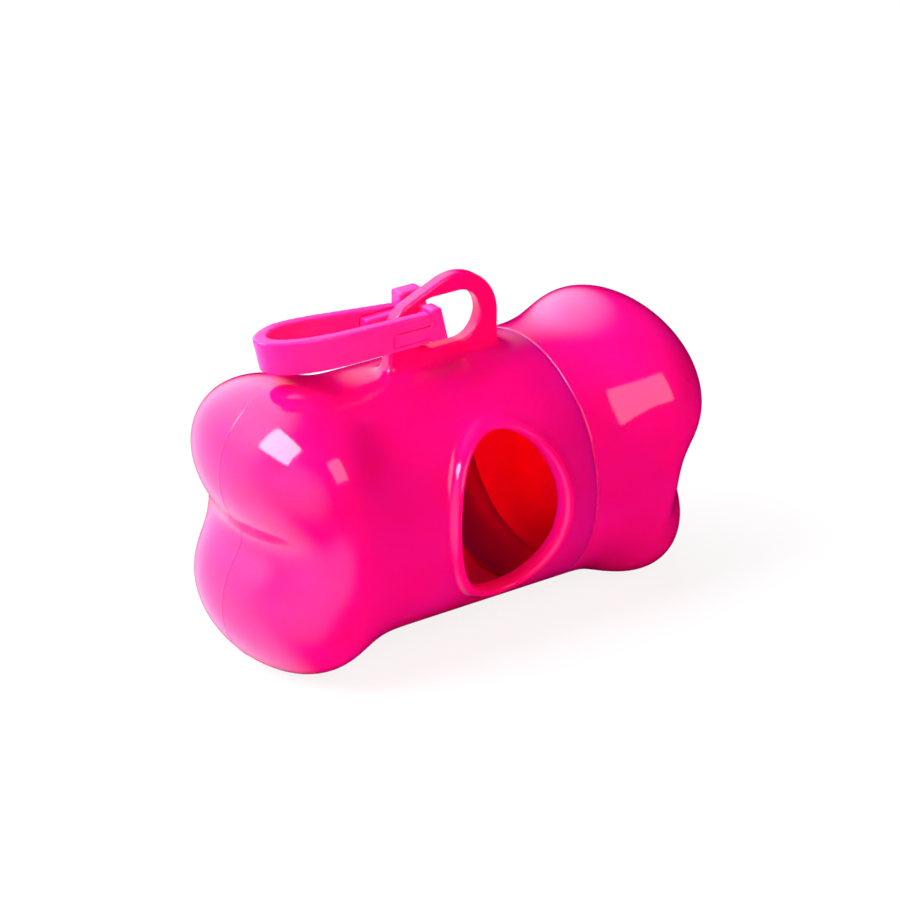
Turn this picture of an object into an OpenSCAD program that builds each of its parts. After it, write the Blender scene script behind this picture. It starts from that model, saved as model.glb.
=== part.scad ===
// Bone-shaped dispenser for dog waste bags: a hollow barrel with a two-lobed end, an end cap
// that pulls out of the barrel's mouth, and a flat-band clip through a lug on top.
// Millimetres, +Z up. X runs along the bone towards the cap, -Y is the front with the opening.
// The origin is on the surface that it stands on, midway along the bone and under its axis.

/* [Bone] */
// Outside diameter of the barrel
barrel_d = 40; // [34:0.5:48]
// Distance between the lobe centres of the two ends, along the bone
lobe_pitch = 60.6; // [56:0.1:74]
// Height of each lobe's centre above or below the bone's axis
lobe_rise = 10.75; // [9:0.05:12.5]
// Size of one lobe along the bone
lobe_len = 21.4; // [18:0.1:25]
// Size of one lobe from front to back
lobe_depth = 35.6; // [30:0.1:42]
// Height of one lobe
lobe_height = 22.8; // [20:0.1:27]
// How far the barrel's domed end reaches past its straight part
dome_len = 7.5; // [5:0.1:9]
// How far the dome starts short of the lobe centres
dome_back = 2.3; // [1:0.1:5]
// Width of the soft blend between the barrel and a lobe
lobe_blend = 8; // [5:0.1:8]
// Width of the soft blend between the two lobes of an end
waist_blend = 4.9; // [2:0.1:7]
// Wall thickness of the hollow mouldings
wall = 1.6; // [1.2:0.1:2.4]
// Depth of the flats that are cut under the lobes, where the bone stands
foot_cut = 0.45; // [0.2:0.05:0.8]

/* [Cap] */
// Distance from the bone's middle to the parting line between barrel and cap
parting_x = 13.7; // [11.5:0.1:14]
// How far the cap stands turned about the bone's axis, with its upper lobe to the front
cap_turn = 11.7; // [-45:0.1:45]
// Gap between the two rims when the cap is home
rim_gap = 0.1; // [0.05:0.05:0.3]
// How far the cap's spigot reaches into the barrel
spigot_len = 5.7; // [4.5:0.1:8]
// Wall thickness of the spigot
spigot_wall = 1.5; // [1:0.1:2.4]
// Extra depth of the mouth past the end of the spigot
mouth_spare = 0.3; // [0.1:0.1:1]
// How much the barrel's wall is thinned to take the spigot
mouth_step = 0.2; // [0.1:0.05:0.4]
// Radial clearance of the spigot in the mouth
spigot_clearance = 0.08; // [0.02:0.01:0.1]
// How far the spigot is rooted inside the cap
spigot_root = 3; // [2:0.1:5]

/* [Opening] */
// Distance between the opening and the inner end of the barrel's mouth
opening_gap = 0.6; // [0.3:0.1:3]
// Height of the opening's centre above the bone's axis
opening_z = 1; // [-2:0.1:2]
// Width of the opening along the bone
opening_w = 18.8; // [12:0.1:19]
// Height of the opening
opening_h = 25; // [16:0.1:26]
// Width of the raised rim round the opening
rim_w = 2; // [1.5:0.1:3.2]
// How far the rim stands out from the barrel
rim_proud = 1.2; // [0.6:0.1:1.6]

/* [Lug] */
// Thickness of the lug's plate
lug_t = 2.4; // [2:0.1:3.2]
// How far the lobes' tops stand above the barrel's top before they lift the lug
lobe_stand = 2.15; // [1:0.05:3]
// Distance of the lug's large corner from the bone's middle
lug_x = 0.9; // [0:0.1:2]
// Height of the large corner's centre above the barrel's top
lug_z = 5.4; // [4.5:0.1:7]
// Radius of the large corner
lug_r = 7.8; // [7:0.1:9]
// Distance between the centres of the large and the small corner
lug_span = 6.4; // [5.5:0.1:8]
// Radius of the small corner
lug_small_r = 5.7; // [5.2:0.1:6.5]
// How far the small corner's centre is below the large corner's
lug_drop = 0.4; // [0:0.1:1]
// Radius of the two ends of the lug's eye
eye_r = 4.1; // [4:0.05:4.4]
// Distance between the centres of the eye's two ends
eye_span = 4.5; // [4:0.1:5]
// Height of the eye's centre above the large corner's centre
eye_lift = 0.9; // [0.6:0.1:1.2]
// How far the centre of the eye's right end is right of the large corner's centre
eye_shift = 0.4; // [0:0.1:0.8]

/* [Clip] */
// Outside width of the clip from front to back
clip_w = 10.6; // [9:0.1:13]
// Height of the clip's band
clip_h = 5.3; // [4.5:0.1:6]
// Thickness of the clip's band
band_t = 1.7; // [1.4:0.1:2]
// Length of the bow from its free ends to the tip of its nose
bow_len = 27.7; // [24:0.1:34]
// Length of the nose, where the bow narrows to its closed end
nose_len = 13.4; // [7:0.1:16]
// Thickness of the band at the tip of the nose
nose_t = 2.5; // [1.7:0.1:3]
// How far from the free ends the tops of the arms start to slope
slope_len = 22.8; // [15:0.1:24]
// Slope of the front arm's top edge towards its free end, in degrees
front_slope = 1.5; // [0:0.1:4]
// Slope of the back arm's top edge towards its free end, in degrees
back_slope = 5.6; // [0:0.1:7]
// Radius of the rod through the lug's eye
rod_r = 1.4; // [1.2:0.05:1.5]
// Clearance between the rod and the eye's left end
rod_clearance = 0.216; // [0.1:0.002:0.4]
// Where the rod lies in the eye's left end, in degrees up from the side of the cap
rod_angle = 139.9; // [130:0.1:150]
// How far the free ends of the bow are left of the rod's centre
shoulder_back = 1.6; // [1.5:0.1:2]
// How far the front shoulder reaches right of the rod's centre, at the bottom
front_shoulder = 1.6; // [1.4:0.1:2]
// How far the back shoulder reaches right of the rod's centre, at the bottom
back_shoulder = 4; // [1.6:0.1:5]
// How far a shoulder's right face leans back over its height
shoulder_lean = 1.3; // [0:0.1:1.5]
// Distance between the inner faces of the shoulders
shoulder_gap = 5.2; // [4.6:0.1:5.6]
// Length of the tongues that hold the bow
tongue_len = 6.6; // [5:0.1:8]
// Height of the tongues' outer pads, which show in the bow's slots
tongue_h = 2; // [1.6:0.1:2.4]
// Thickness of a tongue inside the bow's arm
tongue_t = 1.6; // [1.2:0.1:1.8]
// Height of the strip of the bow's arm under its slot
slot_floor = 0.7; // [0.6:0.1:1]
// How far a tongue's pad stands out from the arm
pad_proud = 0.2; // [0:0.05:0.3]
// Clearance between the bow and the link
clip_clearance = 0.12; // [0.08:0.01:0.2]

/* [Hidden] */

pink = "#ff1a8c";
deep_pink = "#f2007a";

barrel_r = barrel_d / 2;
lobe_x = lobe_pitch / 2;
lobe_size = [lobe_len, lobe_depth, lobe_height] / 2;
dome_x = -dome_back;
lobe_top = lobe_rise + lobe_size.z;
axis_z = max(lobe_top, barrel_r) - foot_cut;

// How far short of the lobe centres the barrel starts to swell
swell_start = lobe_size.x + lobe_blend;

mouth_r = barrel_r - wall + mouth_step;
spigot_r = mouth_r - spigot_clearance;
mouth_depth = spigot_len + mouth_spare;
opening_x = parting_x - mouth_depth - opening_gap - opening_w / 2;

// The level above the axis from which the lug's height is measured: the barrel's top, or higher
lug_base = max(barrel_r, lobe_top - lobe_stand);
lug_corner = [lug_x, lug_base + lug_z];
lug_small_corner = lug_corner - [lug_span, lug_drop];
eye_right = lug_corner + [eye_shift, eye_lift];
eye_left = eye_right - [eye_span, 0];
lug_root = barrel_r - wall / 2;

rod_centre = eye_left + (eye_r - rod_r - rod_clearance) * [cos(rod_angle), sin(rod_angle)];
bow_end_x = rod_centre.x - shoulder_back;
bow_r = clip_w / 2;
nose_x = bow_end_x - bow_len + nose_len;
arm_inner = bow_r - band_t;
clip_bottom = rod_centre[1] - clip_h / 2;
clip_top = rod_centre[1] + clip_h / 2;
tongue_z = clip_bottom + slot_floor + clip_clearance;

// Numbers of points round and along the lobed ends, round the opening, and steps round the nose
AROUND = 64;
AROUND_INSIDE = 40;
ALONG = 8;
TO_TIP = 11;
OPENING_POINTS = 48;
NOSE_POINTS = 32;
// A length past every surface, and how often it is halved to find one
FAR = 40;
HALVINGS = 18;
// Side of the block that cuts the flats
FLOOR_SIDE = 200;
// How far a cut runs past what it cuts, and a root into what holds it
CUT = 1;

// Distance from point p to an ellipsoid at the origin with half-sizes s, nearly exact by its surface
function to_ellipsoid(p, s) =
    let (near = norm([p.x / s.x, p.y / s.y, p.z / s.z]),
         far = norm([p.x / (s.x * s.x), p.y / (s.y * s.y), p.z / (s.z * s.z)]))
    near * (near - 1) / max(far, 0.000001);

// Distance to the barrel with its domed end, as above
function to_barrel(p) =
    to_ellipsoid([max(p.x - dome_x, 0), p.y, p.z], [dome_len, barrel_r, barrel_r]);

// The smaller of two distances, blended softly over the width k
function blend(a, b, k) =
    let (h = max(k - abs(a - b), 0) / k)
    min(a, b) - h * h * h * k / 6;

// Distance to the lobed end. Its tip is towards +X and the lobe centres are at x = 0
function to_end(p) =
    let (upper = to_ellipsoid(p - [0, 0, lobe_rise], lobe_size),
         lower = to_ellipsoid(p + [0, 0, lobe_rise], lobe_size))
    blend(to_barrel(p), blend(upper, lower, waist_blend), lobe_blend);

// Where the ray from point o along d meets the surface that lies inset under the lobed end
function reach(o, d, inset, low = 0, high = FAR, halvings = HALVINGS) =
    let (middle = (low + high) / 2)
    halvings == 0 ? o + middle * d :
    to_end(o + middle * d) < -inset ? reach(o, d, inset, middle, high, halvings - 1) :
    reach(o, d, inset, low, middle, halvings - 1);

// One ring of points: square to the axis up to the lobe centres, then fanning out to the tip
function ring(o, rise, inset, around) =
    [for (i = [0 : around - 1])
        let (turn = 360 * i / around)
        reach(o, [sin(rise), cos(rise) * cos(turn), cos(rise) * sin(turn)], inset)];

// The lobed end and its stretch of barrel as a closed solid, from x = -start to the tip
module lobed_end(start, inset, around) {
    swell = min(start - CUT, swell_start);
    rings = [
        ring([-start, 0, 0], 0, inset, around),
        for (i = [0 : ALONG]) ring([-swell * (1 - i / ALONG), 0, 0], 0, inset, around),
        for (i = [1 : TO_TIP]) ring([0, 0, 0], 90 * i / (TO_TIP + 1), inset, around)
    ];
    count = len(rings) * around;
    points = concat([for (r = rings) each r], [[-start, 0, 0], reach([0, 0, 0], [1, 0, 0], inset)]);
    faces = [
        for (i = [0 : around - 1])
            let (next = (i + 1) % around)
            each concat(
                [[count, i, next]],
                [for (r = [0 : len(rings) - 2])
                    each [[r * around + i, (r + 1) * around + i, r * around + next],
                          [r * around + next, (r + 1) * around + i, (r + 1) * around + next]]],
                [[count - around + i, count + 1, count - around + next]])
    ];
    polyhedron(points, faces);
}

// A round bar along X from x1 to x2
module bar(x1, x2, r) {
    translate([x1, 0, 0]) rotate([0, 90, 0]) cylinder(h = x2 - x1, r = r, $fn = AROUND);
}

// A cylinder along Y through the point at, given in X and Z
module cross_bar(at, r, length) {
    translate([at.x, 0, at[1]]) rotate([90, 0, 0]) cylinder(h = length, r = r, center = true, $fn = 48);
}

// A flat plate in the plane of X and Z, from an outline in X and Z
module plate(thickness) {
    rotate([90, 0, 0]) linear_extrude(height = thickness, center = true) children();
}

// Everything under the level on which the bone stands
module below_floor() {
    translate([0, 0, -FLOOR_SIDE / 2 - axis_z]) cube(FLOOR_SIDE, center = true);
}

// Outline of the opening in X and Z, grown by grow
module opening_outline(grow) {
    polygon([for (i = [0 : OPENING_POINTS - 1])
        let (turn = 360 * i / OPENING_POINTS)
        [opening_x + (opening_w / 2 + grow) * cos(turn),
         opening_z + (opening_h / 2 + grow) * sin(turn)]]);
}

// A bar of the opening's outline, from the bone's axis out through the front
module opening_bar(grow) {
    translate([0, -barrel_r, 0]) rotate([90, 0, 0])
        linear_extrude(height = 2 * barrel_r, center = true) opening_outline(grow);
}

// The raised rim round the opening, bent round the barrel
module opening_rim() {
    intersection() {
        opening_bar(rim_w);
        difference() {
            bar(opening_x - opening_w, parting_x - CUT, barrel_r + rim_proud);
            bar(opening_x - opening_w - CUT, parting_x, barrel_r - wall / 2);
        }
    }
}

// The lug's outline: a large and a small round corner, the slope between them, and the root
module lug_outline() {
    lean = asin((lug_r - lug_small_r) / norm(lug_corner - lug_small_corner))
        + atan2(lug_drop, lug_span);
    slope = [-sin(lean), cos(lean)];
    translate(lug_corner) circle(r = lug_r, $fn = 64);
    translate(lug_small_corner) circle(r = lug_small_r, $fn = 64);
    polygon([
        [lug_corner.x + lug_r, lug_root], [lug_corner.x + lug_r, lug_corner.y],
        lug_corner, lug_corner + lug_r * slope, lug_small_corner + lug_small_r * slope,
        lug_small_corner, lug_small_corner - [lug_small_r, 0],
        [lug_small_corner.x - lug_small_r, lug_root]
    ]);
}

// The eye through the lug: a slot with round ends
module lug_eye() {
    cross_bar(eye_left, eye_r, lug_t + 2 * CUT);
    cross_bar(eye_right, eye_r, lug_t + 2 * CUT);
    translate([eye_left.x, -lug_t, eye_left.y - eye_r]) cube([eye_span, 2 * lug_t, 2 * eye_r]);
}

module body() {
    length = lobe_x + parting_x;
    color(pink) translate([0, 0, axis_z]) difference() {
        union() {
            translate([-lobe_x, 0, 0]) mirror([1, 0, 0]) lobed_end(length, 0, AROUND);
            opening_rim();
            plate(lug_t) lug_outline();
        }
        translate([-lobe_x, 0, 0]) mirror([1, 0, 0]) lobed_end(length - CUT, wall, AROUND_INSIDE);
        bar(parting_x - mouth_depth, parting_x + CUT, mouth_r);
        opening_bar(0);
        lug_eye();
        below_floor();
    }
}

module end_cap() {
    length = lobe_x - parting_x - rim_gap;
    color(pink) translate([0, 0, axis_z]) difference() {
        rotate([cap_turn, 0, 0]) {
            difference() {
                translate([lobe_x, 0, 0]) lobed_end(length, 0, AROUND);
                translate([lobe_x, 0, 0]) lobed_end(length + CUT, wall, AROUND_INSIDE);
            }
            difference() {
                bar(parting_x - spigot_len, parting_x + spigot_root, spigot_r);
                bar(parting_x - spigot_len - CUT, parting_x + spigot_root + CUT, spigot_r - spigot_wall);
            }
        }
        below_floor();
    }
}

// One side of the link: a shoulder at the end of the rod and a tongue into the bow's arm
module link_side(reach_right) {
    left = bow_end_x + clip_clearance;
    right = rod_centre.x + reach_right;
    translate([0, shoulder_gap / 4 + bow_r / 2, 0]) plate(bow_r - shoulder_gap / 2) polygon([
        [left, clip_bottom], [right, clip_bottom],
        [right - shoulder_lean, clip_top], [left, clip_top]
    ]);
    translate([bow_end_x - tongue_len, arm_inner - clip_clearance - tongue_t, tongue_z])
        cube([tongue_len + shoulder_back, bow_r + pad_proud - arm_inner + clip_clearance + tongue_t, tongue_h]);
}

module clip_link() {
    color(deep_pink) translate([0, 0, axis_z]) {
        cross_bar(rod_centre, rod_r, shoulder_gap + CUT);
        link_side(back_shoulder);
        mirror([0, 1, 0]) link_side(front_shoulder);
    }
}

// An outline of the bow in X and Y: two straight arms and a nose that is half an ellipse
module bow_outline(half_w, nose, end_x) {
    polygon([
        [end_x, -half_w], [end_x, half_w],
        for (i = [0 : NOSE_POINTS])
            let (turn = 90 + 180 * i / NOSE_POINTS)
            [nose_x + nose * cos(turn), half_w * sin(turn)]
    ]);
}

// What is cut off one arm's top to make it slope down to its free end
module arm_slope(angle) {
    translate([bow_end_x - slope_len, 0, clip_top]) rotate([0, angle, 0])
        cube([2 * bow_len, clip_w, clip_h]);
}

// The slot in one arm, open at the free end, for the tongue's pad
module arm_slot() {
    translate([bow_end_x - tongue_len - clip_clearance, 0, tongue_z - clip_clearance])
        cube([tongue_len + CUT, clip_w, tongue_h + 2 * clip_clearance]);
}

module clip_bow() {
    color(pink) translate([0, 0, axis_z]) difference() {
        translate([0, 0, clip_bottom]) linear_extrude(height = clip_h) difference() {
            bow_outline(bow_r, nose_len, bow_end_x);
            bow_outline(arm_inner, nose_len - nose_t, bow_end_x + CUT);
        }
        arm_slope(back_slope);
        mirror([0, 1, 0]) arm_slope(front_slope);
        arm_slot();
        mirror([0, 1, 0]) arm_slot();
    }
}

body();
end_cap();
clip_link();
clip_bow();
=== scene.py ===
"""Looks of a bone-shaped dispenser for dog waste bags: two glossy hollow mouldings and a band clip.

Lengths are millimetres, with x along the bone towards the cap, -y to the front and z up from the
bone's axis. in_place() turns a finished mesh into metres and lifts it onto the floor.
"""
import math

import bmesh
import bpy
import numpy as np
from mathutils import Matrix, Vector


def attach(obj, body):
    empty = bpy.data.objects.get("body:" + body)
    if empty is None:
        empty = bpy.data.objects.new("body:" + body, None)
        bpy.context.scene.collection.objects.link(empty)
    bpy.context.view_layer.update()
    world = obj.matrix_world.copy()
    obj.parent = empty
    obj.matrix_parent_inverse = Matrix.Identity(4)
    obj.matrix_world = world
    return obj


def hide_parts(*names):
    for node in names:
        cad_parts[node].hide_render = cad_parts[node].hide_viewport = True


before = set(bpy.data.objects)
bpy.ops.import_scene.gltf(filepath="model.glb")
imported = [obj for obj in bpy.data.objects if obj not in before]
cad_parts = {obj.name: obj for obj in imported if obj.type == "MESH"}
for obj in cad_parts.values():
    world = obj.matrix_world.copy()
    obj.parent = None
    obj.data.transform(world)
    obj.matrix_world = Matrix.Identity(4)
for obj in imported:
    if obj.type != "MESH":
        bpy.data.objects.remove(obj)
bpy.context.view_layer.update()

MM = 0.001

# Bone
BARREL_R = 20
LOBE_X = 30.3
LOBE_RISE = 10.75
LOBE_SIZE = np.array([10.7, 17.8, 11.4])
DOME_SIZE = np.array([7.5, BARREL_R, BARREL_R])
DOME_BACK = 2.3
LOBE_BLEND = 8
WAIST_BLEND = 4.9
WALL = 1.6
FOOT_CUT = 0.45
AXIS_Z = LOBE_RISE + LOBE_SIZE[2] - FOOT_CUT

# Parting line, the cap's spigot and the mouth that takes it
PARTING_X = 13.7
RIM_GAP = 0.1
MOUTH_ROUND = 0.1
MOUTH_EDGE = 0.1
MOUTH_R = 18.6
MOUTH_END_X = 7.7
CAP_ROUND = 0.35
CAP_TURN = math.radians(11.7)
SPIGOT_R = 18.52
SPIGOT_EDGE = 0.4
SPIGOT_LIP = 0.6
SPIGOT_BORE_R = 17.02
SPIGOT_END_X = 8
SPIGOT_LEAD_IN = 2
SPIGOT_ROOT_X = 16.7

# Opening and its raised rim
OPENING = (-2.3, 1)
OPENING_HALF = (9.4, 12.5)
RIM_HALF_W = 1
RIM_SEAT_R = 19.2
RIM_TALL = 2
RIM_BLEND = 1.2

# Lug and its eye
LUG_CORNER = np.array([0.9, 25.4])
LUG_R = 7.8
LUG_SMALL_CORNER = np.array([-5.5, 25])
LUG_SMALL_R = 5.7
LUG_T = 2.4
LUG_EDGE = 0.5
LUG_BLEND = 3
EYE_X = (-3.2, 1.3)
EYE_Z = 26.3
EYE_R = 4.1

# Edge of a cut through the wall, and of the flats under the lobes
CUT_EDGE = 0.7
FOOT_EDGE = 0.3

# Moulding seam round the left end
SEAM_PROUD = 0.07
SEAM_W = 0.14
SEAM_FADE_X = (-32, -37)

# Clip
ROD_X = -5.1
ROD_Z = 27.9
ROD_R = 1.4
CLIP_W = 10.6
CLIP_H = 5.3
BAND_T = 1.7
BOW_LENGTH = 27.7
NOSE_LENGTH = 13.4
NOSE_T = 2.5
NOSE_LEAN = 1.3
SLOPE_LENGTH = 22.8
FRONT_SLOPE = math.radians(1.5)
BACK_SLOPE = math.radians(5.6)
SHOULDER_BACK = 1.6
SHOULDER_GAP = 5.2
FRONT_SHOULDER = 1.6
BACK_SHOULDER = 4
SHOULDER_LEAN = 1.3
TONGUE_LENGTH = 6.6
TONGUE_H = 2
TONGUE_T = 1.6
SLOT_FLOOR = 0.7
PAD_PROUD = 0.04
CLIP_GAP = 0.04

BOW_END_X = ROD_X - SHOULDER_BACK
BOW_R = CLIP_W / 2
NOSE_X = BOW_END_X - BOW_LENGTH + NOSE_LENGTH
SLOPE_X = BOW_END_X - SLOPE_LENGTH
ARM_INNER = BOW_R - BAND_T
CLIP_BOTTOM = ROD_Z - CLIP_H / 2
CLIP_TOP = ROD_Z + CLIP_H / 2
TONGUE_Z = CLIP_BOTTOM + SLOT_FLOOR + CLIP_GAP

# Mesh: sides of the start shapes, voxels of the mouldings and the clip, how far the start shells
# run past the parting line, how far from a rim's rounding they are cut, and a length past everything
AROUND = 64
SHELL_VOXEL = 0.72
CLIP_VOXEL = 0.16
OVERRUN = 1.5
TRIM_MARGIN = 0.06
FAR = 40
SHARP_ANGLE = math.radians(55)


# ---------------------------------------------------------------- distances that shape the shells

def to_ellipsoid(p, size):
    """Distance from the points p to an ellipsoid, or an ellipse, at the origin."""
    near = np.linalg.norm(p / size, axis=-1)
    far = np.linalg.norm(p / np.square(size), axis=-1)
    return near * (near - 1) / np.maximum(far, 1e-6)


def blend(a, b, width):
    """The smaller of two distances, blended softly."""
    h = np.maximum(width - np.abs(a - b), 0) / width
    return np.minimum(a, b) - h ** 3 * width / 6


def carve(a, b, width):
    """Shape a without shape b, with a soft edge."""
    return -blend(-a, b, width)


def ramp(value, start, end):
    """0 before start, 1 past end, and smooth between them."""
    t = np.clip((value - start) / (end - start), 0, 1)
    return t * t * (3 - 2 * t)


def to_end(p):
    """Distance to a lobed end and its barrel: the tip is towards +x, the lobe centres at x = 0."""
    rise = np.array([0, 0, LOBE_RISE])
    dome = np.stack([np.maximum(p[:, 0] + DOME_BACK, 0), p[:, 1], p[:, 2]], -1)
    lobes = blend(to_ellipsoid(p - rise, LOBE_SIZE), to_ellipsoid(p + rise, LOBE_SIZE), WAIST_BLEND)
    return blend(to_ellipsoid(dome, DOME_SIZE), lobes, LOBE_BLEND)


def to_opening(p):
    """Distance to the opening's outline, as seen from the front. It has no reach at the back."""
    flat = p[:, (0, 2)] - OPENING
    return np.where(p[:, 1] < 0, to_ellipsoid(flat, np.array(OPENING_HALF)), FAR)


def to_rim(p):
    """Distance to the rounded rim, which follows the opening round the barrel."""
    radius = np.hypot(p[:, 1], p[:, 2])
    section = np.stack([to_opening(p) - RIM_HALF_W, radius - RIM_SEAT_R], -1)
    return to_ellipsoid(section, np.array([RIM_HALF_W, RIM_TALL]))


def to_lug_outline(flat):
    """Distance to the lug's outline in x and z: two round corners, the slope between, and legs."""
    step = LUG_SMALL_CORNER - LUG_CORNER
    length = math.hypot(*step)
    along = step / length
    lean = (LUG_R - LUG_SMALL_R) / length
    ahead = (flat - LUG_CORNER) @ along
    aside = np.abs((flat - LUG_CORNER) @ np.array([-along[1], along[0]]))
    where = np.clip((ahead - aside * lean / math.sqrt(1 - lean * lean)) / length, 0, 1)
    centre = LUG_CORNER + where[:, None] * step
    corners = np.linalg.norm(flat - centre, axis=-1) - (LUG_R + where * (LUG_SMALL_R - LUG_R))
    left = LUG_SMALL_CORNER[0] - LUG_SMALL_R
    right = LUG_CORNER[0] + LUG_R
    legs = np.maximum(np.maximum(left - flat[:, 0], flat[:, 0] - right), flat[:, 1] - LUG_CORNER[1])
    return np.minimum(corners, np.maximum(legs, BARREL_R - WALL / 2 - flat[:, 1]))


def to_lug(p):
    """Distance to the lug's plate with its rounded edges."""
    outline = to_lug_outline(p[:, (0, 2)]) + LUG_EDGE
    face = np.abs(p[:, 1]) - LUG_T / 2 + LUG_EDGE
    outside = np.hypot(np.maximum(outline, 0), np.maximum(face, 0))
    return outside + np.minimum(np.maximum(outline, face), 0) - LUG_EDGE


def to_eye(p):
    """Distance to the slot with round ends through the lug."""
    return np.hypot(p[:, 0] - np.clip(p[:, 0], *EYE_X), p[:, 2] - EYE_Z) - EYE_R


def seam_height(p):
    """How far the moulding seam stands out: a thin line round the left end, at y = 0."""
    fade = ramp(p[:, 0], *SEAM_FADE_X)
    return SEAM_PROUD * fade * (np.exp(-np.square(p[:, 1] / SEAM_W)) - 1)


def on_floor(distance, p):
    """The shape that distance gives, cut flat where the bone stands."""
    return carve(distance, p[:, 2] + AXIS_Z, FOOT_EDGE)


def to_plain_body(p):
    """Distance to the body's outside, bare of its rim, lug and seam."""
    return to_end(p * (-1, 1, 1) - (LOBE_X, 0, 0))


def to_body(p):
    """Distance to the body's moulding, whose barrel runs on past its mouth."""
    plain = to_plain_body(p)
    outside = blend(plain - seam_height(p), to_rim(p), RIM_BLEND)
    outside = blend(outside, to_lug(p), LUG_BLEND)
    shell = carve(carve(outside, plain + WALL, CUT_EDGE), to_opening(p), CUT_EDGE)
    return on_floor(carve(shell, to_eye(p), CUT_EDGE), p)


def to_cap(p):
    """Distance to the cap's moulding, whose barrel runs on past its rim."""
    c, s = math.cos(CAP_TURN), math.sin(CAP_TURN)
    x, y, z = p.T
    plain = to_end(np.stack([x - LOBE_X, c * y + s * z, c * z - s * y], -1))
    return on_floor(carve(plain, plain + WALL, CUT_EDGE), p)


def settle(mesh, distance, steps=5, probe=0.01):
    """Moves every point of a mesh onto the surface where distance is 0."""
    points = np.empty(len(mesh.vertices) * 3)
    mesh.vertices.foreach_get("co", points)
    points = points.reshape(-1, 3)
    for _ in range(steps):
        slope = np.stack([distance(points + d) - distance(points - d)
                          for d in np.eye(3) * probe], -1) / (2 * probe)
        size = np.maximum((slope * slope).sum(-1), 0.2)
        points -= slope * (distance(points) / size)[:, None]
    mesh.vertices.foreach_set("co", points.ravel())
    mesh.update()


# ---------------------------------------------------------------- mesh tools

def mesh_from(bm, name):
    """The finished bmesh as a mesh. Frees the bmesh."""
    mesh = bpy.data.meshes.new(name)
    bm.to_mesh(mesh)
    bm.free()
    return mesh


def object_from(data, name):
    """A new object in the scene that holds a mesh, lamp or camera."""
    obj = bpy.data.objects.new(name, data)
    bpy.context.collection.objects.link(obj)
    return obj


def with_modifier(mesh, kind, **settings):
    """The mesh that one modifier makes of a mesh."""
    holder = object_from(mesh, "holder")
    modifier = holder.modifiers.new(kind, kind)
    for key, value in settings.items():
        setattr(modifier, key, value)
    graph = bpy.context.evaluated_depsgraph_get()
    made = bpy.data.meshes.new_from_object(holder.evaluated_get(graph))
    bpy.data.objects.remove(holder)
    return made


def remeshed(mesh, voxel):
    """A mesh's solids joined into one skin of even faces."""
    return with_modifier(mesh, "REMESH", mode="VOXEL", voxel_size=voxel)


def smooth_points(mesh, rounds):
    """Moves each point of a mesh towards the middle of its neighbours, this many times."""
    bm = bmesh.new()
    bm.from_mesh(mesh)
    for _ in range(rounds):
        bmesh.ops.smooth_vert(bm, verts=bm.verts, factor=0.5,
                              use_axis_x=True, use_axis_y=True, use_axis_z=True)
    bm.to_mesh(mesh)
    bm.free()


def without(mesh, cutter):
    """A closed mesh with the space of another one cut out."""
    tool = object_from(cutter, "cutter")
    made = with_modifier(mesh, "BOOLEAN", operation="DIFFERENCE", solver="EXACT", object=tool)
    bpy.data.objects.remove(tool)
    return made


def open_edges(bm, x):
    """The open edges of a mesh that lie in the plane at x."""
    return [e for e in bm.edges if e.is_boundary and all(abs(v.co.x - x) < 0.01 for v in e.verts)]


def grow_ring(bm, edges):
    """Extrudes a ring of open edges. Returns the new ring's edges and vertices."""
    grown = bmesh.ops.extrude_edge_only(bm, edges=edges)["geom"]
    edges = [g for g in grown if isinstance(g, bmesh.types.BMEdge) and g.is_boundary]
    return edges, list({v for e in edges for v in e.verts})


def loft(bm, rings):
    """A skin through rings of points. Returns the edges of its two open ends."""
    number = bm.verts.layers.int.get("number") or bm.verts.layers.int.new("number")
    verts = bmesh.ops.create_circle(bm, segments=AROUND, radius=1)["verts"]
    for i, vert in enumerate(verts):
        vert[number] = i
    start = edges = list({e for v in verts for e in v.link_edges})
    for i, ring in enumerate(rings):
        if i:
            edges, verts = grow_ring(bm, edges)
        for vert in verts:
            vert.co = ring[vert[number]]
    return start, edges


def turn_rings(bm, edges, path):
    """Extrudes a ring of open edges through circles round the bone's axis, given as x and radius."""
    for x, radius in path:
        edges, verts = grow_ring(bm, edges)
        for vert in verts:
            out = Vector((0, vert.co.y, vert.co.z)).normalized() * radius
            vert.co = Vector((x, out.y, out.z))
    return edges


def join_skins(bm, start_x, end_x, path):
    """Closes a moulding's mouth along a path from its outer skin at start_x to its inner skin."""
    ledge = turn_rings(bm, open_edges(bm, start_x), path)
    inner = [e for e in open_edges(bm, end_x) if e not in set(ledge)]
    bmesh.ops.bridge_loops(bm, edges=ledge + inner)


def corner(x, radius, x_sign, size, count=4):
    """Path of x and radius round a rim's outer edge, from the outside to the rim's face."""
    turns = [math.pi / 2 * i / count for i in range(count + 1)]
    return [(x - x_sign * size * (1 - math.sin(t)), radius - size * (1 - math.cos(t)))
            for t in turns]


def in_place(mesh):
    """Turns a mesh in millimetres about the axis into metres above the floor, with smooth faces."""
    mesh.transform(Matrix.Scale(MM, 4) @ Matrix.Translation((0, 0, AXIS_Z)))
    mesh.polygons.foreach_set("use_smooth", [True] * len(mesh.polygons))
    mesh.set_sharp_from_angle(angle=SHARP_ANGLE)
    mesh.update()


def closed(bm, name):
    """The mesh of a closed bmesh, with its doubles merged and its faces turned outwards."""
    bmesh.ops.remove_doubles(bm, verts=bm.verts, dist=1e-5)
    bmesh.ops.triangulate(bm, faces=[f for f in bm.faces if len(f.verts) > 4])
    bmesh.ops.recalc_face_normals(bm, faces=bm.faces)
    return mesh_from(bm, name)


# ---------------------------------------------------------------- the two mouldings

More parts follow.
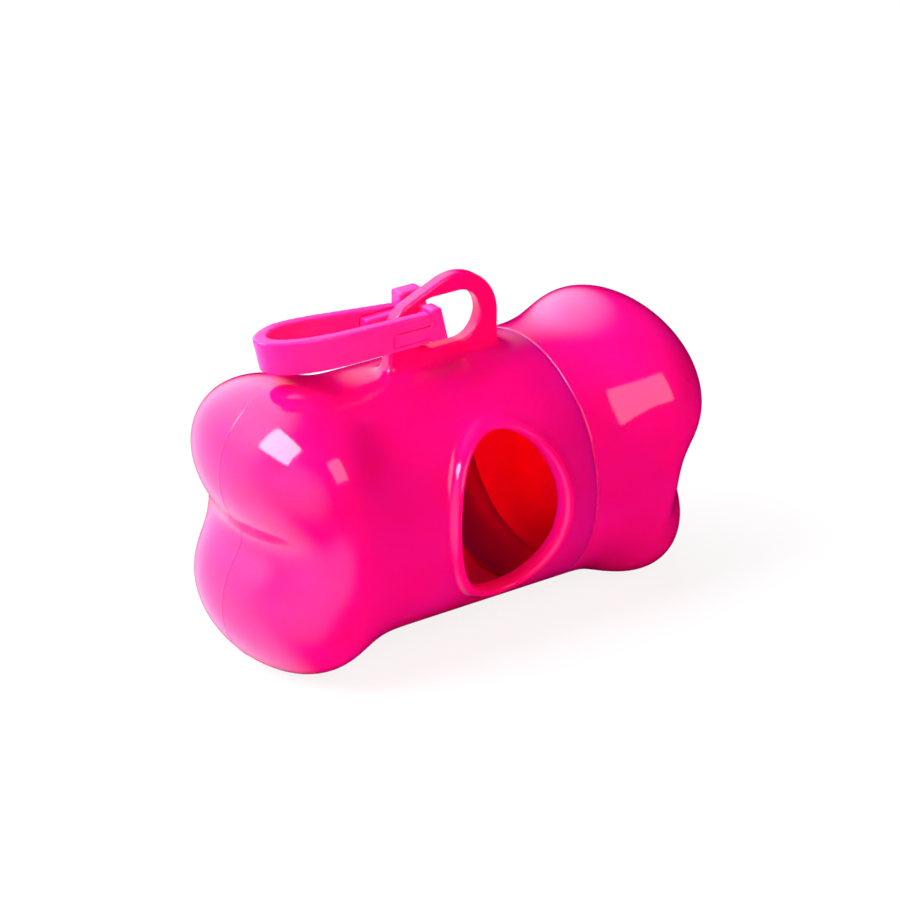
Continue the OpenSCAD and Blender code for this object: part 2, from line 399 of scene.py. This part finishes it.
def reach(origin, directions, inset):
    """Where rays from a point meet the surface that lies inset under the lobed end."""
    low, high = np.zeros(len(directions)), np.full(len(directions), float(FAR))
    for _ in range(18):
        middle = (low + high) / 2
        inside = to_end(origin + middle[:, None] * directions) < -inset
        low, high = np.where(inside, middle, low), np.where(inside, high, middle)
    return origin + low[:, None] * directions


def end_rings(length, inset):
    """Rings of points over a lobed end: along the barrel, then fanning out to the tip."""
    turns = np.arange(AROUND) * 2 * math.pi / AROUND
    stations = [(-x, 0) for x in np.linspace(length, 0, 14)]
    stations += [(0, rise) for rise in np.linspace(0, math.pi / 2, 13)[1:-1]]
    for x, rise in stations:
        side = math.cos(rise)
        directions = np.stack([np.full(AROUND, math.sin(rise)),
                               side * np.cos(turns), side * np.sin(turns)], -1)
        yield reach(np.array([x, 0, 0]), directions, inset)


def start_shell(length):
    """A hollow lobed end with an open mouth, in the lobed end's own frame."""
    bm = bmesh.new()
    mouths = []
    for inset in (0, WALL):
        mouth, last = loft(bm, end_rings(length, inset))
        verts = grow_ring(bm, last)[1]
        tip = reach(np.zeros(3), np.array([[1, 0, 0]]), inset)[0]
        bmesh.ops.pointmerge(bm, verts=verts, merge_co=tip)
        mouths += mouth
    bmesh.ops.bridge_loops(bm, edges=mouths)
    bmesh.ops.recalc_face_normals(bm, faces=bm.faces)
    return bm


def bar(outline, y_low, y_high, name):
    """A closed bar along y with an outline in x and z."""
    bm = bmesh.new()
    face = bm.faces.new([bm.verts.new((x, y_low, z)) for x, z in outline])
    grown = bmesh.ops.extrude_face_region(bm, geom=[face])["geom"]
    moved = [g for g in grown if isinstance(g, bmesh.types.BMVert)]
    bmesh.ops.translate(bm, verts=moved, vec=(0, y_high - y_low, 0))
    bmesh.ops.recalc_face_normals(bm, faces=bm.faces)
    return mesh_from(bm, name)


def arc(centre, radii, start, end, count):
    """Points along an arc in x and z. Angles are in degrees, up from the x axis."""
    turns = np.radians(np.linspace(start, end, count))
    return [(centre[0] + radii[0] * math.cos(t), centre[1] + radii[1] * math.sin(t)) for t in turns]


def start_lug():
    """The lug's plate, square-edged, with its eye cut."""
    lean = math.degrees(math.asin((LUG_R - LUG_SMALL_R) / math.dist(LUG_CORNER, LUG_SMALL_CORNER)))
    root = BARREL_R - WALL / 2
    outline = arc(LUG_CORNER, (LUG_R, LUG_R), 0, 90 + lean, 16)
    outline += arc(LUG_SMALL_CORNER, (LUG_SMALL_R, LUG_SMALL_R), 90 + lean, 180, 16)
    outline += [(outline[-1][0], root), (outline[0][0], root)]
    eye = arc((EYE_X[1], EYE_Z), (EYE_R, EYE_R), -90, 90, 16)
    eye += arc((EYE_X[0], EYE_Z), (EYE_R, EYE_R), 90, 270, 16)
    plate = bar(outline, -LUG_T / 2, LUG_T / 2, "plate")
    return without(plate, bar(eye, -LUG_T, LUG_T, "eye"))


def rim_rings():
    """Rings of points over the rim, from the opening's edge over the crest to the rim's outside."""
    turns = np.arange(AROUND) * 2 * math.pi / AROUND
    outline = np.stack([np.cos(turns), np.sin(turns)], -1)
    for tilt in np.radians(np.linspace(0, 180, 7)):
        away = RIM_HALF_W * (1 - math.cos(tilt))
        radius = RIM_SEAT_R + RIM_TALL * math.sin(tilt)
        flat = np.array(OPENING) + (np.array(OPENING_HALF) + away) * outline
        yield np.stack([flat[:, 0], -np.sqrt(radius ** 2 - flat[:, 1] ** 2), flat[:, 1]], -1)


def start_rim():
    """The rim round the opening, bent round the barrel, as a closed ring."""
    bm = bmesh.new()
    first, last = loft(bm, rim_rings())
    bmesh.ops.bridge_loops(bm, edges=first + last)
    bmesh.ops.recalc_face_normals(bm, faces=bm.faces)
    return mesh_from(bm, "rim")


def split_where(mesh, test):
    """Splits each side of the faces whose centres pass the test."""
    bm = bmesh.new()
    bm.from_mesh(mesh)
    faces = list(bm.faces)
    wanted = test(np.array([f.calc_center_median() for f in faces]))
    edges = {e for f, want in zip(faces, wanted) if want for e in f.edges}
    bmesh.ops.subdivide_edges(bm, edges=list(edges), cuts=1, use_grid_fill=True)
    bm.to_mesh(mesh)
    bm.free()


def relax(mesh, distance, rounds):
    """Evens out a mesh's points and puts them back on the surface."""
    for _ in range(rounds):
        smooth_points(mesh, 1)
        settle(mesh, distance, steps=3)


def on_seam(p, margin=3 * SEAM_W):
    """Whether points are this near the seam, on the outer side of the wall."""
    return (np.abs(p[:, 1]) < margin) & (p[:, 0] < SEAM_FADE_X[0]) & (to_plain_body(p) > -WALL / 2)


def near_features(p, margin=1.6):
    """Whether points are this near the lug, the rim or the seam."""
    radius = np.hypot(p[:, 1], p[:, 2])
    lug = (to_lug(p) < margin) & (radius > BARREL_R - 0.6)
    rim = (np.abs(to_rim(p)) < margin) | (np.abs(to_opening(p)) < margin)
    return lug | rim | (on_seam(p, margin) & (np.abs(to_body(p)) < 0.3))


def near_edges(p, margin=1):
    """Whether points are this near an edge of the lug or of its eye, on the rim, or near the seam."""
    edge = np.minimum(np.abs(to_lug_outline(p[:, (0, 2)])), np.abs(to_eye(p))) < margin
    lug = edge & (np.abs(p[:, 1]) < LUG_T) & (p[:, 2] > BARREL_R)
    rim = (np.abs(to_rim(p)) < 0.4) & (np.hypot(p[:, 1], p[:, 2]) > MOUTH_R)
    return lug | rim | on_seam(p, margin)


def trim(bm, x_outer, x_inner, keep):
    """Cuts the outer skin off at one x and the inner skin at another. keep is the sign of x kept."""
    def is_inner(face):
        centre = face.calc_center_median()
        return math.hypot(centre.y, centre.z) < BARREL_R - WALL / 2

    for x, inner in ((x_outer, False), (x_inner, True)):
        faces = [f for f in bm.faces if is_inner(f) == inner]
        edges = list({e for f in faces for e in f.edges})
        parts = faces + edges + list({v for f in faces for v in f.verts})
        bmesh.ops.bisect_plane(bm, geom=parts, dist=0.02, plane_co=(x, 0, 0), plane_no=(1, 0, 0))
        past = [f for f in bm.faces
                if is_inner(f) == inner and (f.calc_center_median().x - x) * keep < 0]
        bmesh.ops.delete(bm, geom=past, context="FACES")


def body_mesh():
    """The main moulding, with its rim, lug, seam and the mouth that takes the cap."""
    shell = start_shell(LOBE_X + PARTING_X + OVERRUN)
    bmesh.ops.transform(shell, verts=shell.verts, matrix=Matrix.Diagonal((-1, 1, 1, 1)))
    bmesh.ops.translate(shell, verts=shell.verts, vec=(-LOBE_X, 0, 0))
    bmesh.ops.recalc_face_normals(shell, faces=shell.faces)
    hole = bar(arc(OPENING, OPENING_HALF, 0, 352.5, 48), -FAR, 0, "hole")
    cut = without(mesh_from(shell, "shell"), hole)
    joined = bmesh.new()
    for part in (cut, start_lug(), start_rim()):
        joined.from_mesh(part)
    mesh = remeshed(mesh_from(joined, "start"), SHELL_VOXEL)
    settle(mesh, to_body)
    relax(mesh, to_body, 3)
    for test in (near_features, near_edges, on_seam):
        split_where(mesh, test)
        settle(mesh, to_body)
    relax(mesh, to_body, 2)
    bm = bmesh.new()
    bm.from_mesh(mesh)
    start_x = PARTING_X - MOUTH_ROUND - TRIM_MARGIN
    trim(bm, start_x, MOUTH_END_X, -1)
    path = corner(PARTING_X, BARREL_R, 1, MOUTH_ROUND)
    path += [(PARTING_X, MOUTH_R + MOUTH_EDGE), (PARTING_X - MOUTH_EDGE, MOUTH_R)]
    path += [(MOUTH_END_X, MOUTH_R)]
    join_skins(bm, start_x, MOUTH_END_X, path)
    return closed(bm, "body")


def cap_mesh():
    """The end cap, with the spigot that goes into the mouth."""
    shell = start_shell(LOBE_X - PARTING_X + OVERRUN)
    turn = Matrix.Rotation(CAP_TURN, 3, "X")
    bmesh.ops.rotate(shell, verts=shell.verts, cent=(0, 0, 0), matrix=turn)
    bmesh.ops.translate(shell, verts=shell.verts, vec=(LOBE_X, 0, 0))
    mesh = remeshed(mesh_from(shell, "start"), SHELL_VOXEL)
    settle(mesh, to_cap)
    relax(mesh, to_cap, 4)
    bm = bmesh.new()
    bm.from_mesh(mesh)
    rim_x = PARTING_X + RIM_GAP
    start_x = rim_x + CAP_ROUND + TRIM_MARGIN
    trim(bm, start_x, SPIGOT_ROOT_X, 1)
    path = corner(rim_x, BARREL_R, -1, CAP_ROUND)
    path += [(rim_x, SPIGOT_R), (SPIGOT_END_X + SPIGOT_EDGE, SPIGOT_R)]
    path += [(SPIGOT_END_X, SPIGOT_R - SPIGOT_EDGE), (SPIGOT_END_X, SPIGOT_R - SPIGOT_LIP)]
    path += [(SPIGOT_END_X + SPIGOT_LEAD_IN, SPIGOT_BORE_R), (SPIGOT_ROOT_X, SPIGOT_BORE_R)]
    join_skins(bm, start_x, SPIGOT_ROOT_X, path)
    return closed(bm, "end_cap")


# ---------------------------------------------------------------- the clip

def box(bm, low, high):
    """Adds a closed box between two corners and returns its vertices."""
    verts = bmesh.ops.create_cube(bm, size=1)["verts"]
    size = Vector(high) - Vector(low)
    bmesh.ops.scale(bm, verts=verts, vec=size)
    bmesh.ops.translate(bm, verts=verts, vec=Vector(low) + size / 2)
    return verts


def softened(mesh, rounds):
    """Joins a mesh's overlapping solids into one skin and wears its edges round."""
    soft = remeshed(mesh, CLIP_VOXEL)
    smooth_points(soft, rounds)
    return soft


def add_shoulder(bm, side, reach_right):
    """One side of the link: the shoulder on the rod's end, and the tongue with its pad."""
    low_y, high_y = sorted((side * SHOULDER_GAP / 2, side * BOW_R))
    verts = box(bm, (BOW_END_X + CLIP_GAP, low_y, CLIP_BOTTOM), (ROD_X + reach_right, high_y, CLIP_TOP))
    for vert in verts:
        if vert.co.x > ROD_X and vert.co.z > ROD_Z:
            vert.co.x -= SHOULDER_LEAN
    low_y, high_y = sorted((side * (ARM_INNER - CLIP_GAP - TONGUE_T), side * (BOW_R + PAD_PROUD)))
    box(bm, (BOW_END_X - TONGUE_LENGTH, low_y, TONGUE_Z), (ROD_X, high_y, TONGUE_Z + TONGUE_H))


def link_mesh():
    """The short U that passes through the lug's eye."""
    bm = bmesh.new()
    turn = Matrix.Translation((ROD_X, 0, ROD_Z)) @ Matrix.Rotation(math.pi / 2, 4, "X")
    bmesh.ops.create_cone(bm, cap_ends=True, segments=48, radius1=ROD_R, radius2=ROD_R,
                          depth=SHOULDER_GAP + 1, matrix=turn)
    add_shoulder(bm, 1, BACK_SHOULDER)
    add_shoulder(bm, -1, FRONT_SHOULDER)
    return softened(mesh_from(bm, "link"), 8)


def bow_mesh():
    """The long U of flat band, closed at the left, with a slot in each arm for the link's pad."""
    bm = bmesh.new()
    mid_y = (BOW_R + ARM_INNER) / 2
    verts = bmesh.ops.create_grid(bm, x_segments=1, y_segments=1, size=0.5)["verts"]
    bmesh.ops.scale(bm, verts=verts, vec=(BAND_T, CLIP_H, 1))
    stand = Matrix.Translation((NOSE_X, mid_y, ROD_Z)) @ Matrix.Rotation(math.pi / 2, 4, "Z")
    bmesh.ops.transform(bm, verts=verts, matrix=stand @ Matrix.Rotation(math.pi / 2, 4, "X"))
    section = list(bm.faces)
    swept = bmesh.ops.spin(bm, geom=section, cent=(NOSE_X, 0, ROD_Z), axis=(0, 0, 1),
                           angle=math.pi, steps=48, use_merge=False)["geom_last"]
    last = [g for g in swept if isinstance(g, bmesh.types.BMFace)]
    for vert in bm.verts:
        radius = math.hypot(vert.co.x - NOSE_X, vert.co.y)
        outer = radius > mid_y
        length = NOSE_LENGTH - (0 if outer else NOSE_T) - (NOSE_LEAN if vert.co.z < ROD_Z else 0)
        vert.co.x = NOSE_X + (vert.co.x - NOSE_X) * length / radius
    for faces in (section, last):
        grown = bmesh.ops.extrude_face_region(bm, geom=faces)["geom"]
        verts = [g for g in grown if isinstance(g, bmesh.types.BMVert)]
        bmesh.ops.delete(bm, geom=faces, context="FACES")
        for vert in verts:
            vert.co.x = BOW_END_X
    for vert in bm.verts:
        if vert.co.z > ROD_Z and vert.co.x > SLOPE_X:
            slope = BACK_SLOPE if vert.co.y > 0 else FRONT_SLOPE
            vert.co.z -= math.tan(slope) * (vert.co.x - SLOPE_X)
    bmesh.ops.recalc_face_normals(bm, faces=bm.faces)
    band = mesh_from(bm, "band")
    slots = bmesh.new()
    slot_low = (BOW_END_X - TONGUE_LENGTH - CLIP_GAP, -CLIP_W, TONGUE_Z - CLIP_GAP)
    slot_high = (BOW_END_X + 1, CLIP_W, TONGUE_Z + TONGUE_H + CLIP_GAP)
    box(slots, slot_low, slot_high)
    return softened(without(band, mesh_from(slots, "slots")), 9)


# ---------------------------------------------------------------- shader tools

class Sock:
    """A value in a node tree. Arithmetic on it adds Math nodes."""

    def __init__(self, tree, value):
        self.tree, self.value = tree, value

    def math(self, operation, other):
        return self.tree.node("ShaderNodeMath", {"operation": operation}, {0: self, 1: other})

    def __add__(self, other): return self.math("ADD", other)
    def __mul__(self, other): return self.math("MULTIPLY", other)
    __radd__, __rmul__ = __add__, __mul__

    def between(self, start, end):
        """0 before start and 1 past end, smooth between them."""
        return self.tree.node("ShaderNodeMapRange", {"interpolation_type": "SMOOTHSTEP"},
                              {"Value": self, "From Min": start, "From Max": end})


class Tree:
    """A node tree that is filled from Python values."""

    def __init__(self, owner):
        owner.use_nodes = True
        self.tree = owner.node_tree
        self.tree.nodes.clear()

    def node(self, kind, settings=None, inputs=None, output=0):
        """Adds a node: its settings first, then the values or links of its sockets."""
        made = self.tree.nodes.new(kind)
        for key, value in (settings or {}).items():
            setattr(made, key, value)
        for key, value in (inputs or {}).items():
            if isinstance(value, Sock):
                self.tree.links.new(value.value, made.inputs[key])
            else:
                made.inputs[key].default_value = value
        return Sock(self, made.outputs[output]) if made.outputs else made

    def mix(self, factor, a, b):
        """A colour between two colours."""
        return self.node("ShaderNodeMix", {"data_type": "RGBA"}, {0: factor, 6: a, 7: b}, output=2)

    def noise(self, place, scale, detail):
        inputs = {"Vector": place, "Scale": scale, "Detail": detail}
        return self.node("ShaderNodeTexNoise", None, inputs)

    def seen_by(self, first, *others):
        """1 for the kinds of ray that are named, and 0 for others."""
        seen = self.node("ShaderNodeLightPath", output=first)
        for ray in others:
            seen = seen.math("MAXIMUM", self.node("ShaderNodeLightPath", output=ray))
        return seen


def rgb(red, green, blue):
    """A colour with its alpha, as a node's socket takes it."""
    return (red, green, blue, 1)


# ---------------------------------------------------------------- materials

SHELL_PINK = rgb(0.995, 0.0015, 0.17), rgb(0.995, 0.003, 0.205)
CLIP_PINK = rgb(0.96, 0.02, 0.28), rgb(0.97, 0.03, 0.31)
SPECK = rgb(0.8, 0.001, 0.14)
# How far red, green and blue light travel inside the plastic, in millimetres, and how straight
SHELL_GLOW = (9, 0.1, 0.4)
CLIP_GLOW = (0.8, 0.1, 0.4)
GLOW_STRAIGHT = 0.6
# Pattern scales, in waves per metre, and how the flow marks are stretched
CLOUD_SCALE = 60
WAVE_SCALE = 90
SPECK_SCALE = 420
GRAIN_SCALE = 1500
FLOW_STRETCH = (1, 0.35, 2.2)
# Noise levels between which the second shade and the specks come in, and how strong specks are
CLOUD_LEVELS = (0.35, 0.7)
SPECK_LEVELS = (0.76, 0.82)
SPECK_STRENGTH = 0.5
# Height of the tallest bumps in metres, and the grain's share of it
BUMP_HEIGHT = 0.00002
GRAIN_SHARE = 0.12
ROUGHER_IN_CLOUD = 0.06
PLASTIC_IOR = 1.5


def moulded_pink(name, shades, glow, ripple, roughness):
    """Glossy self-coloured plastic: faint flow marks, ripples and specks."""
    material = bpy.data.materials.new(name)
    tree = Tree(material)
    place = tree.node("ShaderNodeTexCoord", output="Object")
    flow = tree.node("ShaderNodeMapping", None, {"Vector": place, "Scale": FLOW_STRETCH})
    cloud = tree.noise(flow, CLOUD_SCALE, 3)
    colour = tree.mix(cloud.between(*CLOUD_LEVELS), *shades)
    specks = tree.noise(place, SPECK_SCALE, 1).between(*SPECK_LEVELS)
    colour = tree.mix(specks * SPECK_STRENGTH, colour, SPECK)
    waves = tree.noise(flow, WAVE_SCALE, 2)
    grain = tree.noise(place, GRAIN_SCALE, 2)
    bumps = tree.node("ShaderNodeBump", None, {
        "Strength": 1.0, "Distance": BUMP_HEIGHT, "Height": waves * ripple + grain * GRAIN_SHARE})
    shader = tree.node("ShaderNodeBsdfPrincipled", None, {
        "Base Color": colour, "Roughness": roughness + cloud * ROUGHER_IN_CLOUD,
        "IOR": PLASTIC_IOR, "Normal": bumps,
        "Subsurface Weight": 1.0, "Subsurface Radius": glow, "Subsurface Scale": MM,
        "Subsurface Anisotropy": GLOW_STRAIGHT})
    tree.node("ShaderNodeOutputMaterial", None, {"Surface": shader})
    return material


# ---------------------------------------------------------------- pieces

def piece(mesh, name, body, node, material):
    """Puts a finished mesh in the scene in place of its CAD node."""
    in_place(mesh)
    mesh.materials.append(material)
    obj = object_from(mesh, name)
    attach(obj, body)
    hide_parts(node)


shell_pink = moulded_pink("shell_pink", SHELL_PINK, SHELL_GLOW, ripple=1.0, roughness=0.06)
clip_pink = moulded_pink("clip_pink", CLIP_PINK, CLIP_GLOW, ripple=0.5, roughness=0.22)

piece(body_mesh(), "bone_body", "body", "body", shell_pink)
piece(cap_mesh(), "bone_cap", "cap", "end_cap", shell_pink)
piece(link_mesh(), "link", "link", "clip_link", clip_pink)
piece(bow_mesh(), "bow", "bow", "clip_bow", clip_pink)


# ---------------------------------------------------------------- floor, light and camera

WHITE = rgb(1, 1, 1)
FLOOR_GREY = rgb(0.85, 0.85, 0.85)
FLOOR_SIZE = 6
FLOOR_DROP = 0.00005
# How much of the floor the camera sees as plain white: the rest shows the shadow
FLOOR_WHITE = 0.85
# Bright sides of the studio: direction, where along it the light starts and is full, and colour
STUDIO = (
    ((-0.30, 0.85, 0.43), 0.53, 0.85, rgb(2.4, 2.4, 2.7)),
    ((-0.50, 0.75, -0.40), 0.5, 0.9, rgb(1.4, 1.4, 1.7)),
    ((-0.95, -0.30, -0.05), 0.6, 1.0, rgb(0.9, 0.9, 1.1)),
)
# Lamps: direction, distance in metres, size for each metre of it, radiance, colour, and whether
# glossy rays see the lamp
LAMPS = {
    "key": ((-0.698, 0.10, 0.709), 0.6, (0.5, 0.56), 14, (0.95, 0.97, 1.1), True),
    "front": ((0.125, -0.77, 0.62), 0.6, (0.54, 0.56), 2.6, (1.0, 1.0, 1.15), True),
    "fill left": ((-0.5, -0.8, 0.4), 1.2, (0.9, 0.9), 1.45, (1.0, 0.75, 0.42), False),
    "fill right": ((0.7, -0.7, 0.25), 1.2, (0.9, 0.9), 1.25, (1.0, 0.75, 0.42), False),
    "side": ((-0.6, 0.2, 0.75), 1.2, (0.9, 0.9), 2.7, (0.95, 0.95, 1.15), False),
}


def make_floor():
    """A plain floor that the camera sees as nearly white, with the object's shadow on it."""
    bm = bmesh.new()
    bmesh.ops.create_grid(bm, x_segments=1, y_segments=1, size=FLOOR_SIZE / 2)
    material = bpy.data.materials.new("floor")
    tree = Tree(material)
    diffuse = tree.node("ShaderNodeBsdfDiffuse", None, {"Color": FLOOR_GREY})
    glow = tree.node("ShaderNodeEmission", None, {"Color": WHITE, "Strength": 1.0})
    seen = tree.seen_by("Is Camera Ray", "Is Glossy Ray", "Is Transmission Ray")
    shader = tree.node("ShaderNodeMixShader", None, {0: seen * FLOOR_WHITE, 1: diffuse, 2: glow})
    tree.node("ShaderNodeOutputMaterial", None, {"Surface": shader})
    mesh = mesh_from(bm, "floor")
    mesh.materials.append(material)
    floor = object_from(mesh, "floor")
    floor.location.z = -FLOOR_DROP
    floor.visible_glossy = False


def make_world():
    """White to the camera. The object is lit by a studio that is bright at its left and back."""
    world = bpy.data.worlds.new("studio")
    bpy.context.scene.world = world
    tree = Tree(world)
    place = tree.node("ShaderNodeTexCoord", output="Generated")
    studio = rgb(0, 0, 0)
    for direction, start, full, colour in STUDIO:
        side = tree.node("ShaderNodeVectorMath", {"operation": "DOT_PRODUCT"},
                         {0: place, 1: Vector(direction).normalized()}, output=1)
        studio = tree.mix(side.between(start, full), studio, colour)
    seen = tree.seen_by("Is Camera Ray", "Is Transmission Ray")
    colour = tree.mix(seen, studio, WHITE)
    back = tree.node("ShaderNodeBackground", None, {"Color": colour, "Strength": 1.0})
    tree.node("ShaderNodeOutputWorld", None, {"Surface": back})


def softbox(name, direction, distance, size, radiance, colour, in_gloss):
    """A rectangular lamp that faces the object from a direction."""
    lamp = bpy.data.lights.new(name, "AREA")
    lamp.shape = "RECTANGLE"
    lamp.size, lamp.size_y = size[0] * distance, size[1] * distance
    lamp.color = colour
    lamp.energy = radiance * math.pi * lamp.size * lamp.size_y
    obj = object_from(lamp, name)
    away = Vector(direction).normalized()
    obj.location = Vector((0, 0, AXIS_Z * MM)) + away * distance
    obj.rotation_euler = away.to_track_quat("Z", "Y").to_euler()
    obj.visible_glossy = in_gloss


# Place and aim in millimetres above the floor, and the lens for a sensor of this width
CAMERA_PLACE = Vector((-292.48, -402.36, 254.16))
CAMERA_AIM = Vector((0.71, 0, AXIS_Z + 3.95))
CAMERA_LENS = 143.45
CAMERA_SENSOR = 36
CAMERA_ROLL = math.radians(0.38)


def make_camera():
    """The photograph's camera: long lens, from the front left and above."""
    data = bpy.data.cameras.new("camera")
    data.lens, data.sensor_width = CAMERA_LENS, CAMERA_SENSOR
    camera = object_from(data, "camera")
    camera.location = CAMERA_PLACE * MM
    turn = (CAMERA_PLACE - CAMERA_AIM).to_track_quat("Z", "Y")
    camera.rotation_mode = "QUATERNION"
    camera.rotation_quaternion = turn @ Matrix.Rotation(CAMERA_ROLL, 3, "Z").to_quaternion()
    bpy.context.scene.camera = camera


make_floor()
make_world()
for lamp_name, lamp in LAMPS.items():
    softbox(lamp_name, *lamp)
make_camera()
bpy.context.scene.view_settings.view_transform = "Standard"
